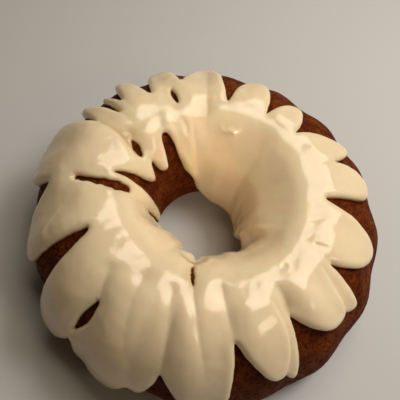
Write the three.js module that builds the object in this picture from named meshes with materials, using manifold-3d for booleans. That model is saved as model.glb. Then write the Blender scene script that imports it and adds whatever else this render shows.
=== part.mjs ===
// A ring cake under a thick coat of poured icing, standing on its flat foot.
// Millimetres, +Z up, with the origin on the floor below the middle of the whole.
// Places on the crust are given by an angle round the hole, anticlockwise from +X in degrees, and by
// the length of crust from the foot of the outer wall, up over the crest and down the funnel.
import * as THREE from 'three';
import { mergeVertices } from 'three/addons/utils/BufferGeometryUtils.js';
import Module from 'manifold-3d';

const wasm = await Module();
wasm.setup();

// ---- The cake
const CAKE_RADIUS = 122; // at the widest place of the outer wall
const CAKE_HEIGHT = 81;
const CREST_RADIUS = 66;
const WIDEST_HEIGHT = 18;
const FOOT_RADIUS = 115;
const HOLE_RADIUS = 36.5;
const HOLE_EDGE_HEIGHT = 9; // the inner edge stands clear of the floor
const FOOT_INNER_RADIUS = 54;
const FOOT_EDGE = 2.5; // bevel round the foot
const UNDERSIDE_HEIGHT = 2; // halfway between the foot and the hole's edge
const OUTER_FULLNESS = 2.1; // 2 is an ellipse, more is squarer
const INNER_FULLNESS = 2.2;
const FLUTES = 16;
const FLUTE_DEPTH = 1.2;
const FLUTE_ANGLE = 356; // of one ridge
const OVAL_DEPTH = 1.6; // how far the cake is out of round
const OVAL_ANGLE = 135;
const FLUTES_END = 30; // the flutes die away over this length below the crest
const HOLE_BEHIND = 2.4; // the icing reaches further at the front, so the hole is this far behind the middle

// ---- The icing
const ICING_GAP = 0.3; // between the crust and the underside of the icing
const ICING_ROOT = -1.5; // the icing is made this far into the cake, which then cuts it
const ICING_EDGE = 1.6; // height of the edge above the crust
const ICING_DEPTH = 5.2;
const EDGE_WIDTH = 7; // how far in from its edge the icing reaches its full depth
const STREAM_DEPTH = 1.3; // how much deeper the middle of a stream is than its sides
const POOL_DEPTH = 1.2; // extra depth at the low end of a stream
const STREAM_REACH = [0, 0.3]; // where a stream rises, as parts of its way down from the crest
const POOL_REACH = [0.5, 0.9];

// Streams down the outer wall. Each starts at the notch before it and reaches down to its tip;
// round says how square its two sides are, where 1 is a straight side and 2 a round one,
// and deep how much deeper than the others it is.
const OUTER_STREAMS = [
  { notch: [0.5, 105], tip: [10.5, 66.5], round: [3, 1.6] },
  { notch: [19, 93.5], tip: [26, 75], round: [2.8, 1.5] },
  { notch: [40.5, 106], tip: [51, 85], round: [2.2, 2.8] },
  { notch: [59.5, 108], tip: [71, 79.5], round: [1.7, 2.2] },
  { notch: [82, 108], tip: [96, 58], round: [1.6, 3], deep: -1.5 },
  { notch: [105.5, 84], tip: [114, 54], round: [2.8, 3], deep: -2 },
  { notch: [122, 89], tip: [128, 60], round: [2.6, 2.6], deep: -0.5 },
  { notch: [134.5, 78], tip: [137, 66], round: [2, 2] },
  { notch: [139.5, 92], tip: [144.5, 55], round: [2.6, 2.6], deep: 0.5 },
  { notch: [148.8, 72], tip: [162, 40], round: [3, 6], deep: 2 },
  { notch: [177.5, 70], tip: [197, 42], round: [1.7, 6], deep: -2.5 },
  { notch: [204.3, 100], tip: [217, 24], round: [1.5, 3.4], deep: 0.5 },
  { notch: [228.5, 42], tip: [231.5, 28], round: [2, 2] },
  { notch: [235, 35], tip: [243, 24], round: [2, 2.8] },
  { notch: [259.3, 60], tip: [273, 26], round: [1.4, 8] },
  { notch: [281.5, 84.5], tip: [293.5, 51], round: [1.3, 3] },
  { notch: [297, 50], tip: [299.5, 44], round: [2, 2.3] },
  { notch: [303.6, 87.5], tip: [318.5, 61], round: [1.7, 2.5] },
  { notch: [322.5, 63], tip: [326, 58.5], round: [2, 3] },
  { notch: [329.8, 92], tip: [343.5, 62], round: [1.6, 1.7] },
];

// Streams down the funnel, which leave a bare patch of crust on the side at 110 to 174 degrees.
const INNER_STREAMS = [
  { notch: [127.5, 126.5], tip: [140, 148], round: [1.3, 2] },
  { notch: [149, 136.5], tip: [158.5, 147], round: [1.6, 1.5] },
  { notch: [174, 119], tip: [183, 181], round: [6, 3] },
  { notch: [192.5, 158], tip: [206, 178], round: [2, 2] },
  { notch: [221, 164], tip: [236, 184], round: [2, 2] },
  { notch: [249, 167], tip: [256, 175], round: [2, 2] },
  { notch: [263, 145], tip: [274, 177], round: [2.5, 2] },
  { notch: [290, 163], tip: [300, 178], round: [2, 2] },
  { notch: [318, 154], tip: [35, 195], round: [7, 5] },
];

// Slits where two streams don't quite meet: their two ends and their width.
const SLITS = [
  { from: [149, 117.5], to: [151, 129], width: 4 },
  { from: [178.5, 95.5], to: [182.7, 131], width: 4.5 },
  { from: [231.7, 82], to: [228.6, 53], width: 5 },
  { from: [112, 98], to: [111, 110.5], width: 2.6 },
  { from: [262.5, 130], to: [265, 117], width: 1.8 },
];

// ---- How finely the shapes are cut up
const CAKE_COLUMNS = 96;
const OUTER_WALL_ROWS = 8;
const FUNNEL_ROWS = 8;
const SIDE_RISES = [0.05, 0.3, 0.75]; // where columns stand on each side of a stream, by height
const WIDEST_COLUMN = 6; // degrees
const NARROWEST_COLUMN = 0.12;
const OUTER_ROWS = [0, 0.03, 0.12, 0.28, 0.46, 0.64, 0.82]; // from the outer edge up to the crest
const INNER_ROWS = [1, 0.93, 0.82, 0.68, 0.5, 0.3, 0.12, 0.03, 0]; // and on to the inner edge
const PROFILE_STEPS = 400;
const SLIT_STEPS = 6; // along each side of a slit
const SLIT_REACH = 14; // how far a slit's cutter stands above and below the crust
const WELD = 1e-4;

const radians = THREE.MathUtils.degToRad;

// ---- The crust's profile: radius and height at each length of crust
function profilePoints() {
  const points = [];
  for (let i = 0; i < PROFILE_STEPS; i++) {
    const t = i / PROFILE_STEPS;
    points.push(new THREE.Vector2(
      FOOT_RADIUS + (CAKE_RADIUS - FOOT_RADIUS) * Math.sin(t * Math.PI / 2),
      WIDEST_HEIGHT * t,
    ));
  }
  for (let i = 0; i < PROFILE_STEPS; i++) {
    const a = i / PROFILE_STEPS * Math.PI / 2;
    points.push(new THREE.Vector2(
      CREST_RADIUS + (CAKE_RADIUS - CREST_RADIUS) * Math.cos(a) ** (2 / OUTER_FULLNESS),
      WIDEST_HEIGHT + (CAKE_HEIGHT - WIDEST_HEIGHT) * Math.sin(a) ** (2 / OUTER_FULLNESS),
    ));
  }
  for (let i = 0; i <= PROFILE_STEPS; i++) {
    const a = (1 - i / PROFILE_STEPS) * Math.PI / 2;
    points.push(new THREE.Vector2(
      CREST_RADIUS - (CREST_RADIUS - HOLE_RADIUS) * Math.cos(a) ** (2 / INNER_FULLNESS),
      HOLE_EDGE_HEIGHT + (CAKE_HEIGHT - HOLE_EDGE_HEIGHT) * Math.sin(a) ** (2 / INNER_FULLNESS),
    ));
  }
  return points;
}

const profile = profilePoints();
const lengths = [0];
for (let i = 1; i < profile.length; i++) {
  lengths.push(lengths[i - 1] + profile[i].distanceTo(profile[i - 1]));
}
const WIDEST_LENGTH = lengths[PROFILE_STEPS];
const CREST_LENGTH = lengths[2 * PROFILE_STEPS];
const CRUST_LENGTH = lengths[3 * PROFILE_STEPS];

function profileAt(length) {
  let low = 0;
  let high = lengths.length - 1;
  while (high - low > 1) {
    const middle = (low + high) >> 1;
    if (lengths[middle] <= length) low = middle;
    else high = middle;
  }
  const t = (length - lengths[low]) / (lengths[high] - lengths[low]);
  return profile[low].clone().lerp(profile[high], t);
}

const smooth = THREE.MathUtils.smoothstep;

// How far the wall stands out of its round profile: soft flutes on a slightly oval ring.
function swell(angle, length) {
  const flute = FLUTE_DEPTH * Math.cos(radians(FLUTES * (angle - FLUTE_ANGLE)));
  const oval = OVAL_DEPTH * Math.cos(radians(2 * (angle - OVAL_ANGLE)));
  const low = smooth(length, 0, WIDEST_LENGTH);
  const high = 1 - smooth(length, CREST_LENGTH - FLUTES_END, CREST_LENGTH);
  return (flute + oval) * low * high;
}

// The point that lies the given height above the crust.
function crustPoint(angle, length, height = 0) {
  const before = profileAt(Math.max(length - 1, 0));
  const after = profileAt(Math.min(length + 1, CRUST_LENGTH));
  const along = after.sub(before).normalize();
  const out = swell(angle, length) + height;
  const at = profileAt(length);
  const radius = at.x + along.y * out;
  const turn = radians(angle);
  return new THREE.Vector3(radius * Math.cos(turn), radius * Math.sin(turn), at.y - along.x * out);
}

// ---- Closed bodies from rings of points
function bodyFromRings(rings, closed) {
  const positions = rings.flat().flatMap((point) => point.toArray());
  const columns = rings[0].length;
  const faces = [];
  const last = closed ? rings.length : rings.length - 1;
  for (let row = 0; row < last; row++) {
    const next = (row + 1) % rings.length;
    for (let column = 0; column < columns; column++) {
      const right = (column + 1) % columns;
      const a = row * columns + column;
      const b = row * columns + right;
      const c = next * columns + right;
      const d = next * columns + column;
      faces.push(a, b, c, a, c, d);
    }
  }
  const geometry = new THREE.BufferGeometry();
  geometry.setAttribute('position', new THREE.Float32BufferAttribute(positions, 3));
  geometry.setIndex(faces);
  return geometry;
}

function solid(geometry) {
  const merged = mergeVertices(geometry, WELD);
  return new wasm.Manifold(new wasm.Mesh({
    numProp: 3,
    vertProperties: new Float32Array(merged.attributes.position.array),
    triVerts: new Uint32Array(merged.index.array),
  }));
}

function geometryOf(body) {
  const mesh = body.getMesh();
  const geometry = new THREE.BufferGeometry();
  geometry.setAttribute('position', new THREE.BufferAttribute(new Float32Array(mesh.vertProperties), 3));
  geometry.setIndex(new THREE.BufferAttribute(new Uint32Array(mesh.triVerts), 1));
  return geometry;
}

// ---- The cake
function evenly(from, to, count) {
  return Array.from({ length: count }, (_, i) => from + (to - from) * i / count);
}

// Rows stand closer where the crust turns more sharply, as over the crest.
function cakeRows() {
  const wall = evenly(WIDEST_LENGTH, CREST_LENGTH, OUTER_WALL_ROWS);
  const funnel = evenly(0, 1, FUNNEL_ROWS).map((t) => lengths[Math.round((2 + t) * PROFILE_STEPS)]);
  return [FOOT_EDGE, WIDEST_LENGTH / 2, ...wall, ...funnel, CRUST_LENGTH];
}

// The cake's surface, grown outwards by the given distance.
function cakeGeometry(grown = 0) {
  const angles = evenly(0, 360, CAKE_COLUMNS);
  const rings = cakeRows().map((length) => angles.map((angle) => crustPoint(angle, length, grown)));
  const foot = [
    [(HOLE_RADIUS + FOOT_INNER_RADIUS) / 2, UNDERSIDE_HEIGHT],
    [FOOT_INNER_RADIUS, 0],
    [FOOT_RADIUS - FOOT_EDGE, 0],
  ];
  for (const [radius, height] of foot) {
    rings.push(angles.map((angle) => {
      const turn = radians(angle);
      return new THREE.Vector3(radius * Math.cos(turn), radius * Math.sin(turn), height);
    }));
  }
  return bodyFromRings(rings, true);
}

// ---- The icing's edges
// The sides of each stream, from its notch to its tip and on to the next notch.
function sidesOf(streams) {
  return streams.flatMap((stream, i) => {
    const next = streams[(i + 1) % streams.length];
    const [start, startLength] = stream.notch;
    const tip = stream.tip[0] < start ? stream.tip[0] + 360 : stream.tip[0];
    const end = next.notch[0] < tip ? next.notch[0] + 360 : next.notch[0];
    const shared = { from: tip, low: stream.tip[1], deep: stream.deep ?? 0 };
    return [
      { ...shared, to: start, high: startLength, round: stream.round[0] },
      { ...shared, to: end, high: next.notch[1], round: stream.round[1] },
    ];
  });
}

function sideAt(sides, angle) {
  for (const side of sides) {
    for (const turned of [angle, angle + 360, angle - 360]) {
      const across = (turned - side.from) / (side.to - side.from);
      if (across >= 0 && across <= 1) return { side, across };
    }
  }
  throw new Error(`no stream covers ${angle} degrees`);
}

function edgeAt(sides, angle) {
  const { side, across } = sideAt(sides, angle);
  return side.low + (side.high - side.low) * across ** side.round;
}

// Angles that follow the streams' sides closely where they are steep.
function columnsOf(sides) {
  const angles = sides.flatMap((side) => {
    const places = [0, ...SIDE_RISES, 1].map((rise) => rise ** (1 / side.round));
    return places.map((across) => side.from + (side.to - side.from) * across);
  });
  const turned = angles.map((angle) => ((angle % 360) + 360) % 360).sort((a, b) => a - b);
  const apart = turned.filter((angle, i) => i === 0 || angle - turned[i - 1] > NARROWEST_COLUMN);
  return apart.flatMap((angle, i) => {
    const next = i + 1 < apart.length ? apart[i + 1] : apart[0] + 360;
    return evenly(angle, next, Math.ceil((next - angle) / WIDEST_COLUMN));
  });
}

const outerSides = sidesOf(OUTER_STREAMS);
const innerSides = sidesOf(INNER_STREAMS);
const outerColumns = columnsOf(outerSides);
const innerColumns = columnsOf(innerSides);

const edgeLines = [
  outerColumns.map((angle) => crustPoint(angle, edgeAt(outerSides, angle))),
  innerColumns.map((angle) => crustPoint(angle, edgeAt(innerSides, angle))),
];

const nearest = new THREE.Vector3();
const segment = new THREE.Line3();

function distanceToEdge(point) {
  let distance = Infinity;
  for (const line of edgeLines) {
    line.forEach((start, i) => {
      segment.set(start, line[(i + 1) % line.length]);
      segment.closestPointToPoint(point, true, nearest);
      distance = Math.min(distance, nearest.distanceTo(point));
    });
  }
  return distance;
}

// The icing's depth rises in a round shoulder from its edge, and is deepest along each stream.
function icingHeight(angle, length) {
  const distance = distanceToEdge(crustPoint(angle, length));
  const inward = 1 - Math.min(distance / EDGE_WIDTH, 1);
  const shoulder = Math.sqrt(1 - inward * inward);
  const outside = length < CREST_LENGTH;
  const { side, across } = sideAt(outside ? outerSides : innerSides, angle);
  const reach = THREE.MathUtils.clamp((CREST_LENGTH - length) / (CREST_LENGTH - side.low), 0, 1);
  const stream = (STREAM_DEPTH + side.deep) * smooth(reach, ...STREAM_REACH);
  const pool = POOL_DEPTH * smooth(reach, ...POOL_REACH);
  const depth = ICING_DEPTH + (stream + pool) * (1 - across * across);
  return ICING_EDGE + (depth - ICING_EDGE) * shoulder;
}

// ---- The icing
// Two rings with different columns are joined by a band of triangles.
function joinRings(faces, lower, lowerStart, upper, upperStart) {
  let i = 0;
  let j = 0;
  while (i < lower.length || j < upper.length) {
    const lowerNext = i + 1 < lower.length ? lower[i + 1] : lower[0] + 360;
    const upperNext = j + 1 < upper.length ? upper[j + 1] : upper[0] + 360;
    const a = lowerStart + (i % lower.length);
    const b = upperStart + (j % upper.length);
    if (j >= upper.length || (i < lower.length && lowerNext <= upperNext)) {
      faces.push(a, lowerStart + ((i + 1) % lower.length), b);
      i++;
    } else {
      faces.push(a, upperStart + ((j + 1) % upper.length), b);
      j++;
    }
  }
}

function icingRings() {
  const rings = OUTER_ROWS.map((rise) => ({
    angles: outerColumns,
    lengths: outerColumns.map((angle) => THREE.MathUtils.lerp(edgeAt(outerSides, angle), CREST_LENGTH, rise)),
  }));
  const funnel = INNER_ROWS.map((rise) => ({
    angles: innerColumns,
    lengths: innerColumns.map((angle) => THREE.MathUtils.lerp(edgeAt(innerSides, angle), CREST_LENGTH, rise)),
  }));
  return [...rings, ...funnel];
}

function icingGeometry() {
  const rings = icingRings();
  const tops = rings.map(({ angles, lengths: rows }) => angles.map(
    (angle, i) => crustPoint(angle, rows[i], icingHeight(angle, rows[i])),
  ));
  const bottoms = rings.map(({ angles, lengths: rows }) => angles.map(
    (angle, i) => crustPoint(angle, rows[i], ICING_ROOT),
  ));
  const around = [...rings, ...rings.slice().reverse()];
  const points = [...tops, ...bottoms.reverse()];
  const starts = points.reduce((list, ring) => [...list, list[list.length - 1] + ring.length], [0]);
  const faces = [];
  around.forEach((ring, row) => {
    const next = (row + 1) % around.length;
    joinRings(faces, ring.angles, starts[row], around[next].angles, starts[next]);
  });
  const geometry = new THREE.BufferGeometry();
  const positions = points.flat().flatMap((point) => point.toArray());
  geometry.setAttribute('position', new THREE.Float32BufferAttribute(positions, 3));
  geometry.setIndex(faces);
  return geometry;
}

// ---- The slits
// A slit is cut by an upright lens that follows the slit's two ends.
function slitCutter(slit) {
  const start = crustPoint(...slit.from);
  const end = crustPoint(...slit.to);
  const halfway = [(slit.from[0] + slit.to[0]) / 2, (slit.from[1] + slit.to[1]) / 2];
  const up = crustPoint(...halfway, 1).sub(crustPoint(...halfway)).normalize();
  const along = end.clone().sub(start).normalize();
  const across = new THREE.Vector3().crossVectors(up, along).normalize();
  const outline = [];
  for (let i = 0; i < 2 * SLIT_STEPS; i++) {
    const turn = i / SLIT_STEPS * Math.PI;
    outline.push(new THREE.Vector2(
      (1 - Math.cos(turn)) / 2 * start.distanceTo(end),
      -slit.width / 2 * Math.sin(turn),
    ));
  }
  const shape = new THREE.Shape(outline);
  const geometry = new THREE.ExtrudeGeometry(shape, { depth: 2 * SLIT_REACH, bevelEnabled: false });
  const frame = new THREE.Matrix4().makeBasis(along, across, new THREE.Vector3().crossVectors(along, across));
  frame.setPosition(start);
  geometry.translate(0, 0, -SLIT_REACH);
  geometry.applyMatrix4(frame);
  geometry.deleteAttribute('normal');
  geometry.deleteAttribute('uv');
  return solid(geometry);
}

function cutIcing() {
  const cutters = [solid(cakeGeometry(ICING_GAP)), ...SLITS.map(slitCutter)];
  return cutters.reduce((body, cutter) => body.subtract(cutter), solid(icingGeometry()));
}

// ---- The finished cake
function piece(name, geometry, material) {
  const mesh = new THREE.Mesh(geometry, material);
  mesh.name = name;
  mesh.position.y = HOLE_BEHIND;
  return mesh;
}

const crust = new THREE.MeshStandardMaterial({ color: 0x7d3f1c, roughness: 0.85, metalness: 0 });
const cream = new THREE.MeshStandardMaterial({ color: 0xeeddb8, roughness: 0.35, metalness: 0 });

const bundtCake = new THREE.Group();
bundtCake.add(piece('cake', cakeGeometry(), crust));
bundtCake.add(piece('icing', geometryOf(cutIcing()), cream));

export default bundtCake;
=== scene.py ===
"""A ring cake: its baked crust, and the thick icing poured over it, on a pale studio floor.

Places on the crust are given by an angle round the hole, anticlockwise from +X in degrees, and by the
length of crust in millimetres from the foot of the outer wall, over the crest and down the funnel.
Shapes are worked out in millimetres about the hole's axis, and placed in metres in the CAD's frame.
"""
import math

import bpy
import numpy as np
from bpy.props import FloatProperty, FloatVectorProperty, IntProperty, PointerProperty
from bpy.types import Operator, Panel, PropertyGroup
from mathutils import Matrix, Vector, kdtree, noise
from mathutils.geometry import delaunay_2d_cdt


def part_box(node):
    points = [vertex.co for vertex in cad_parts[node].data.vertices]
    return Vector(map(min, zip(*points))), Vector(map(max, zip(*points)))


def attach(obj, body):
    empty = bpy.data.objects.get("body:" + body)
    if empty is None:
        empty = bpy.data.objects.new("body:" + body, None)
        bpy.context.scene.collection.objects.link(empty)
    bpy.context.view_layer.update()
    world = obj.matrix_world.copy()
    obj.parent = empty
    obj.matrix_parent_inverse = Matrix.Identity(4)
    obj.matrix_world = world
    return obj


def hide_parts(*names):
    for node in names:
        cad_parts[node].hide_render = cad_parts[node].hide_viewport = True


bl_info = {
    "name": "Iced Ring Cake",
    "version": (1, 0, 0),
    "blender": (4, 5, 0),
    "location": "3D View > Sidebar > Ring Cake",
    "description": "Builds the baked crust and the poured icing of a ring cake",
    "category": "Add Mesh",
}

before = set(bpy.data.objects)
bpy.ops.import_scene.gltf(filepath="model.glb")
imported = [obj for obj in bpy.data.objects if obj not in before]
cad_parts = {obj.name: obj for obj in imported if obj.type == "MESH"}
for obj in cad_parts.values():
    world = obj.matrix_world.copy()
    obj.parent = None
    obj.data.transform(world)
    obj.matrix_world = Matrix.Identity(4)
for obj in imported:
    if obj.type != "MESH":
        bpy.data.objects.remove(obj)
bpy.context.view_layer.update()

MM = 0.001
TINY = 1e-6
PLACES_AT_ONCE = 2000  # keeps the memory small
CAKE_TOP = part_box("cake")[1][2]

# The crust's form, in millimetres and degrees
HOLE_BEHIND = 2.4  # the hole's axis stands this far behind the frame's origin
FLUTE_ANGLE = 356  # the top of one of the flutes
FLUTES_END = 30  # the flutes fade out over this much crust before the crest
OVAL_ANGLE = 135  # the way in which the ring is widest
FOOT_EDGE = 2.5  # bevel round the foot
UNDERSIDE_HEIGHT = 2  # halfway between the foot and the hole's edge
PIT_DEPTH = 1.2  # next to the swells between the pits

# How finely the shapes are cut up, in millimetres where they are lengths
PROFILE_STEPS = 400
SIDE_STEPS = 160
PATH_STEPS = 120
FLAT_SIZE = 1000.0  # radius of the foot when the crust is laid out flat
ROW_STEP = 0.866  # between the rows of even triangles, next to their sides
EDGE_SPACING = 0.85  # of the icing's grain
EDGE_BLUR = 1  # in points along the edge
RIM_ROWS = (0.9, 1.8, 2.7, 3.7, 4.8)
RIM_ROW_ROOM = 0.88  # how much of its distance from one edge a row keeps from the others
GUIDE_ROWS = (0, 0.45, -0.45, 1.0, -1.0, 1.7, -1.7, 2.6, -2.6)
ICING_THINNING = 0.62  # closest points, next to the icing's grain
CRUST_THINNING = 0.6  # closest points, next to the crust's grain
RING_POINTS = 480
UNDERSIDE_SPACING = 5.0
COVERED_SPACING = 4.0
COVERED_MARGIN = 2.5

# The icing's form, in millimetres and degrees
ICING_ROOT = 0.5  # how far its edge reaches into the crust
MOST_LEAN = 20  # how far a stream may flow back under the notch before it
LONG_NOTCH = 22.0  # the shortest notch that parts two streams all the way
SLIT_LEAST = 0.25  # half the width that a slit has at its ends
SLIT_RIM = 0.6  # how wide a slit's rounded rim is, next to the others
SLIT_WOBBLE = 0.5  # how uneven its edge is, next to the others
RAGGED_WIDTH = 1.0  # a slit that is wider than this on each side gets no more ragged
NARROWEST_RIM = 1.6
RIM_TRIES = 8
RIM_ROOM = 0.9  # how much of its width a rim needs clear of other edges
RIM_BLUR = 3  # in points along the edge
NARROW_REACH = 10  # how far narrow icing is thinner
FOLD_SHOULDER = 4.0
DENT_LIP = 0.45  # how high the lip round a dent is, next to the dent's depth
SHADE_BY_ICING_REACH = 1.6  # how far the painted shade on the crust beside the icing reaches

# Soft ribs that run the way the icing flowed, and are calmer on the crest except round one angle
STREAK_WIDTH = 7.0
STREAK_LENGTH = 45.0
STREAK_SHARE = 1.3
STREAKED = 128
STREAKED_REACH = (14, 30)
MOST_CALM = 0.85
LEAST_CALM = 0.4

# Bands of the icing, by the length of crust past the crest
THINNER_BAND = (-16, 8)
THICKER_BAND = (12, 44)
SAG_BAND = (12, 52)
CALM_BAND = (-24, -6)
STILL_BAND = (40, 70)

# Soft noises: the size of each one's bumps, and a seed of its own. The streaks' points come to scale.
NOISES = {
    "waves": (16, 1), "ripples": (6, 2), "wobble": (9, 3), "fine_wobble": (3.5, 4), "swells": (13, 5),
    "fine_swells": (5, 6), "pits": (2.4, 7), "streaks": (1, 8), "ragged": (2.8, 9),
}
RIPPLE_SHARE = 0.35
FINE_WOBBLE_SHARE = 0.4
FINE_SWELL_SHARE = 0.3
PITS_FROM = (0.2, 0.5)  # the noise at a pit's edge and at its bottom
MOST_STILL = 0.6  # how far the waves die away low in the funnel

# The stage, in metres and degrees. Azimuths run anticlockwise from +X. The lights' powers are among the
# stage's sizes.
FLOOR_SIZE = 6.0
CAKE_MIDDLE = (0, 0, 0.05)
FUNNEL_BACK = (-0.003, 0.045, 0.05)
CAMERA_TARGET = (-0.0051, 0.0152, 0.04)
SKY_COLOUR = (1, 0.74, 0.5, 1)
LIGHTS = {
    "key": {"size": (0.25, 0.25), "azimuth": 20, "elevation": 53, "distance": 0.7,
            "colour": (0.95, 0.97, 1), "glossy": False},
    "top": {"size": (0.76, 0.72), "azimuth": 50, "elevation": 64, "distance": 1.08,
            "colour": (1, 0.91, 0.76)},
    "fill": {"size": (0.22, 0.22), "azimuth": -34, "elevation": 42, "distance": 0.9,
             "colour": (1, 0.79, 0.55)},
    "funnel": {"size": (0.06, 0.06), "azimuth": -80, "elevation": 45, "distance": 0.6,
               "colour": (1, 0.84, 0.62), "target": FUNNEL_BACK, "spread": 10},
}

# Streams of icing down the outer wall. Each starts at the notch before it and reaches down to its tip.
# Round says how square the tip is towards its two sides, and full how wide the notches beside it are,
# with 1 for a sharp one. Deep is how much thicker than the others it is.
OUTER_STREAMS = (
    {"notch": (-0.5, 106.5), "tip": (8.5, 71.5), "round": (5, 1.9), "full": (1.8, 1)},
    {"notch": (18.7, 95), "tip": (25, 78.5), "round": (3, 1.5)},
    {"notch": (40, 107.5), "tip": (50, 87.5), "round": (2, 2.4)},
    {"notch": (59.3, 110), "tip": (69.5, 84.5), "round": (2.2, 3.8), "full": (1, 1.2)},
    {"notch": (82, 110.5), "tip": (95, 62), "round": (2.1, 1.3), "full": (1.7, 1.2), "deep": -1.5},
    {"notch": (105.8, 91), "tip": (114, 56), "round": (3, 2.2), "full": (1.4, 1.8), "deep": -2},
    {"notch": (121.6, 96), "tip": (128, 60), "round": (2.2, 2.2), "full": (1.8, 1.8), "deep": -0.5},
    {"notch": (134.5, 90), "tip": (137.2, 66), "round": (1.6, 1.6), "full": (1.6, 1.3), "deep": -1},
    {"notch": (139.3, 97), "tip": (144.5, 58), "round": (2.2, 2.4), "full": (1.6, 1.8)},
    {"notch": (149, 87), "tip": (164, 39), "round": (3.8, 6), "full": (1.6, 1.3), "deep": 1.5},
    {"notch": (178, 75), "tip": (195, 40), "round": (1.7, 10), "full": (1.5, 3), "deep": -2},
    {"notch": (203.7, 102), "tip": (217, 24), "round": (2.2, 3.4), "full": (3.2, 1), "deep": 0.5},
    {"notch": (228.5, 42), "tip": (231.5, 27), "round": (2, 2)},
    {"notch": (235.5, 31), "tip": (243, 22), "round": (2, 2)},
    {"notch": (250.5, 38), "tip": (253.7, 35), "round": (2, 1.7)},
    {"notch": (259.2, 60.5), "tip": (273, 26), "round": (1.3, 4)},
    {"notch": (282, 84.5), "tip": (293.5, 55), "round": (1.5, 4), "full": (1.2, 1)},
    {"notch": (296.4, 54.5), "tip": (299.2, 48), "round": (2, 2)},
    {"notch": (303.7, 88.5), "tip": (318.3, 65.5), "round": (1.9, 2.5)},
    {"notch": (321.6, 66), "tip": (325.5, 61.5), "round": (2, 3.8)},
    {"notch": (329.4, 94), "tip": (344, 67), "round": (1.9, 2), "full": (1, 2)},
)

# Streams down the funnel, with a bare patch of crust between 107 and 174 degrees.
INNER_STREAMS = (
    {"notch": (126.3, 126.3), "tip": (139.5, 150), "round": (4, 5), "full": (10, 1.6)},
    {"notch": (147.5, 137), "tip": (158, 149), "round": (2.5, 1.9), "full": (3.2, 1.6)},
    {"notch": (173, 117.5), "tip": (168, 196), "round": (2, 1.7), "full": (0.5, 1.2), "deep": -0.7},
    {"notch": (186.5, 154), "tip": (174, 197), "round": (1.3, 3), "full": (0.75, 1), "deep": -2.3},
    {"notch": (200, 191), "tip": (214, 188), "round": (2, 2.5)},
    {"notch": (240, 174), "tip": (250, 182), "round": (2, 2)},
    {"notch": (263, 150), "tip": (276, 180), "round": (2.5, 2)},
    {"notch": (290, 168), "tip": (304, 183), "round": (2, 2), "deep": -2},
    {"notch": (316, 172), "tip": (325, 180), "round": (2, 2), "deep": -2.4},
    {"notch": (334, 172), "tip": (35, 198), "round": (9, 9), "full": (1.6, 1)},
    {"notch": (105, 186), "tip": (109.5, 171.5), "round": (1.2, 1)},
    {"notch": (118.3, 160), "tip": (121.5, 145), "round": (1, 1), "full": (1, 2.2)},
)

# Slits where two streams don't quite meet: the places along each, half its width there, and how ragged
# its edge is.
SLITS = (
    {"path": ((148.2, 117), (150, 123), (152.4, 130)), "half": (0.3, 2.6, 1.2), "ragged": 1},
    {"path": ((178.2, 94), (178.8, 100), (180.1, 111), (181.3, 122), (181, 131.5)),
     "half": (2.0, 1.4, 1.9, 3.1, 2.3), "ragged": 1.4},
    {"path": ((231.2, 83.5), (230.2, 68), (228.2, 50)), "half": (0.4, 2.8, 0.2)},
    {"path": ((112, 97.5), (111.6, 104), (111, 111)), "half": (0.2, 1.5, 0.4)},
    {"path": ((262.2, 132), (262.7, 128), (263.4, 124), (265, 115)), "half": (0.5, 0.2, 0.45, 0.2),
     "ragged": 1.4},
)

# Lines where one layer of icing lies over another. The high side is on the left, going along the path;
# drop is the step's height, and reach how far the lower side takes to rise again.
FOLDS = (
    {"path": ((295.5, 52), (298.5, 67), (300.3, 80), (300.2, 94), (299, 106)), "drop": 2.2, "reach": 14},
    {"path": ((320.3, 62), (322, 70), (323.2, 78), (324, 87), (326, 101)), "drop": 2.4, "reach": 14},
    {"path": ((157, 128), (153, 119), (150, 110), (149.3, 92), (148.8, 70)), "drop": 2.4, "reach": 12},
)

# Creases, where two streams meet side by side. A depth below 0 is a ridge.
CREASES = (
    {"path": ((93.3, 70), (93.8, 100), (94.5, 145)), "depth": 1.9, "width": 6.0},
    {"path": ((279.5, 122), (280, 108), (281, 95), (281.5, 84)), "depth": 1.8, "width": 4.0},
    {"path": ((264.2, 119), (266, 109), (268.5, 97), (271, 80), (273, 60)), "depth": 1.6, "width": 3.5},
    {"path": ((255.5, 116), (256.5, 106), (258.4, 90), (259.3, 62)), "depth": 1.5, "width": 4.5},
    {"path": ((224.5, 106), (228, 95), (231.5, 83)), "depth": 1.4, "width": 4.0},
    {"path": ((305, 109), (305, 97), (303.6, 88)), "depth": 1.6, "width": 3.0},
    {"path": ((113, 120), (110.3, 126), (110.5, 131), (113, 133)), "depth": 1.2, "width": 1.8},
    {"path": ((332.5, 108), (333, 104), (334.5, 98)), "depth": 0.9, "width": 1.5},
    {"path": ((343.5, 115), (346.5, 109), (348.5, 104)), "depth": 0.6, "width": 2.0},
    {"path": ((262.5, 133), (266, 137), (272, 136), (280, 128)), "depth": 0.8, "width": 1.6},
    {"path": ((53, 112), (50, 123), (47, 134), (42, 154), (38, 178)), "depth": 1.1, "width": 9.0},
    {"path": ((68, 125), (72, 129.5), (76, 129), (80, 130.5), (87, 126)), "depth": -1.1, "width": 1.3},
    {"path": ((199.5, 68), (195.5, 76), (190, 89)), "depth": -0.6, "width": 1.8},
    {"path": ((200.3, 97), (201.5, 104), (202.5, 112)), "depth": -0.4, "width": 1.6},
    {"path": ((240.5, 119), (241, 105), (244, 86), (249, 60)), "depth": 1.5, "width": 6.5},
)

# How far the icing has sagged down the funnel, by the angle, as shares of the sag's depth. Where it is
# below 0 the icing is thinner instead.
SAG = (
    (2, 1.7), (25, 1.5), (50, 1.1), (77, 1), (105, 0), (178, 0), (188, -0.5), (196, -0.5), (220, 1.1),
    (234, 1.2), (250, 0.1), (265, 0), (283, 0.4), (297, 0.7), (310, 0), (321, 0), (335, 1.5),
    (350, 1.8),
)

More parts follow.
